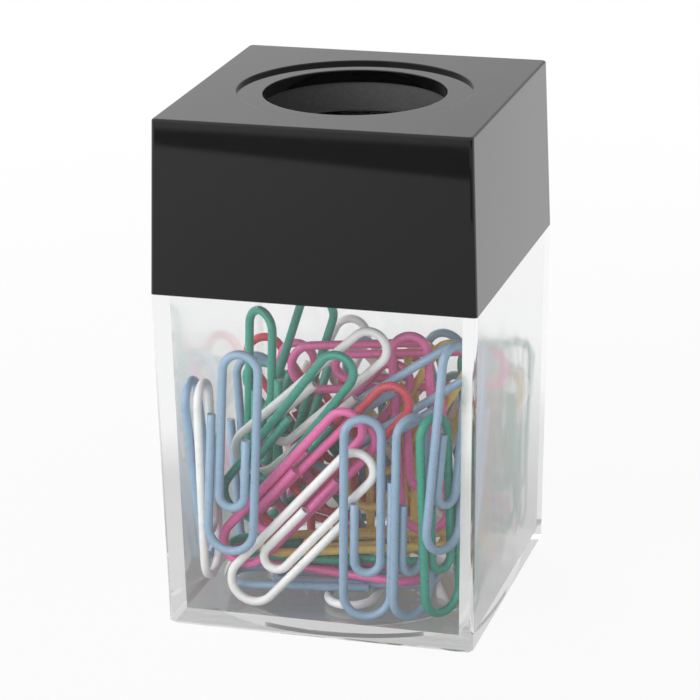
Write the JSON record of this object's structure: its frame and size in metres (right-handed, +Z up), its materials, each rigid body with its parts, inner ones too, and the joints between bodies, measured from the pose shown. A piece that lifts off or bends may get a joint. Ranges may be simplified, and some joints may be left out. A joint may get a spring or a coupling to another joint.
{
  "type": "magnetic paper clip holder",
  "caption": "Square clear box of coloured paper clips under a black lift-off lid whose round mouth has a ring magnet that holds clips at its edge.",
  "frame": {"origin": "middle of the base, on the surface that the holder stands on", "axes": "+Z up through the lid's mouth, front face towards -Y, +X to the right of the front face"},
  "size_m": [0.042, 0.042, 0.0675],
  "materials": {
    "clear_plastic": "clear moulded polystyrene, polished",
    "black_plastic": "black moulded polystyrene, polished",
    "ferrite": "sintered ferrite, ground",
    "coated_wire_blue": "steel wire with a smooth blue vinyl coating",
    "coated_wire_green": "steel wire with a smooth green vinyl coating",
    "coated_wire_white": "steel wire with a smooth white vinyl coating",
    "coated_wire_pink": "steel wire with a smooth pink vinyl coating",
    "coated_wire_red": "steel wire with a smooth red vinyl coating",
    "coated_wire_yellow": "steel wire with a smooth yellow vinyl coating"
  },
  "bodies": {
    "box": {"clear_box": "clear_plastic", "clip_blue_01": "coated_wire_blue", "clip_blue_02": "coated_wire_blue", "clip_blue_03": "coated_wire_blue", "clip_blue_04": "coated_wire_blue", "clip_blue_05": "coated_wire_blue", "clip_blue_06": "coated_wire_blue", "clip_blue_07": "coated_wire_blue", "clip_blue_08": "coated_wire_blue", "clip_blue_09": "coated_wire_blue", "clip_blue_10": "coated_wire_blue", "clip_green_01": "coated_wire_green", "clip_green_02": "coated_wire_green", "clip_green_03": "coated_wire_green", "clip_green_04": "coated_wire_green", "clip_green_05": "coated_wire_green", "clip_green_06": "coated_wire_green", "clip_green_07": "coated_wire_green", "clip_green_08": "coated_wire_green", "clip_green_09": "coated_wire_green", "clip_pink_01": "coated_wire_pink", "clip_pink_02": "coated_wire_pink", "clip_pink_03": "coated_wire_pink", "clip_pink_04": "coated_wire_pink", "clip_pink_05": "coated_wire_pink", "clip_pink_06": "coated_wire_pink", "clip_pink_07": "coated_wire_pink", "clip_pink_08": "coated_wire_pink", "clip_pink_09": "coated_wire_pink", "clip_red_01": "coated_wire_red", "clip_red_02": "coated_wire_red", "clip_red_03": "coated_wire_red", "clip_white_01": "coated_wire_white", "clip_white_02": "coated_wire_white", "clip_white_03": "coated_wire_white", "clip_white_04": "coated_wire_white", "clip_white_05": "coated_wire_white", "clip_white_06": "coated_wire_white", "clip_white_07": "coated_wire_white", "clip_yellow_01": "coated_wire_yellow", "clip_yellow_02": "coated_wire_yellow", "clip_yellow_03": "coated_wire_yellow", "clip_yellow_04": "coated_wire_yellow"},
    "lid": {"lid": "black_plastic", "magnet_ring": "ferrite"},
    "red_clip": {"loose_clip_red": "coated_wire_red"},
    "yellow_clip": {"loose_clip_yellow": "coated_wire_yellow"}
  },
  "joints": [
    {"name": "lid_lift", "type": "slide", "parent": "box", "child": "lid", "axis": [0, 0, 1], "range_m": [0, 0.03]},
    {"name": "red_clip_draw", "type": "slide", "parent": "box", "child": "red_clip", "axis": [0, 0, 1], "range_m": [0, 0.068]},
    {"name": "yellow_clip_draw", "type": "slide", "parent": "box", "child": "yellow_clip", "axis": [0, 0, 1], "range_m": [0, 0.067]}
  ]
}
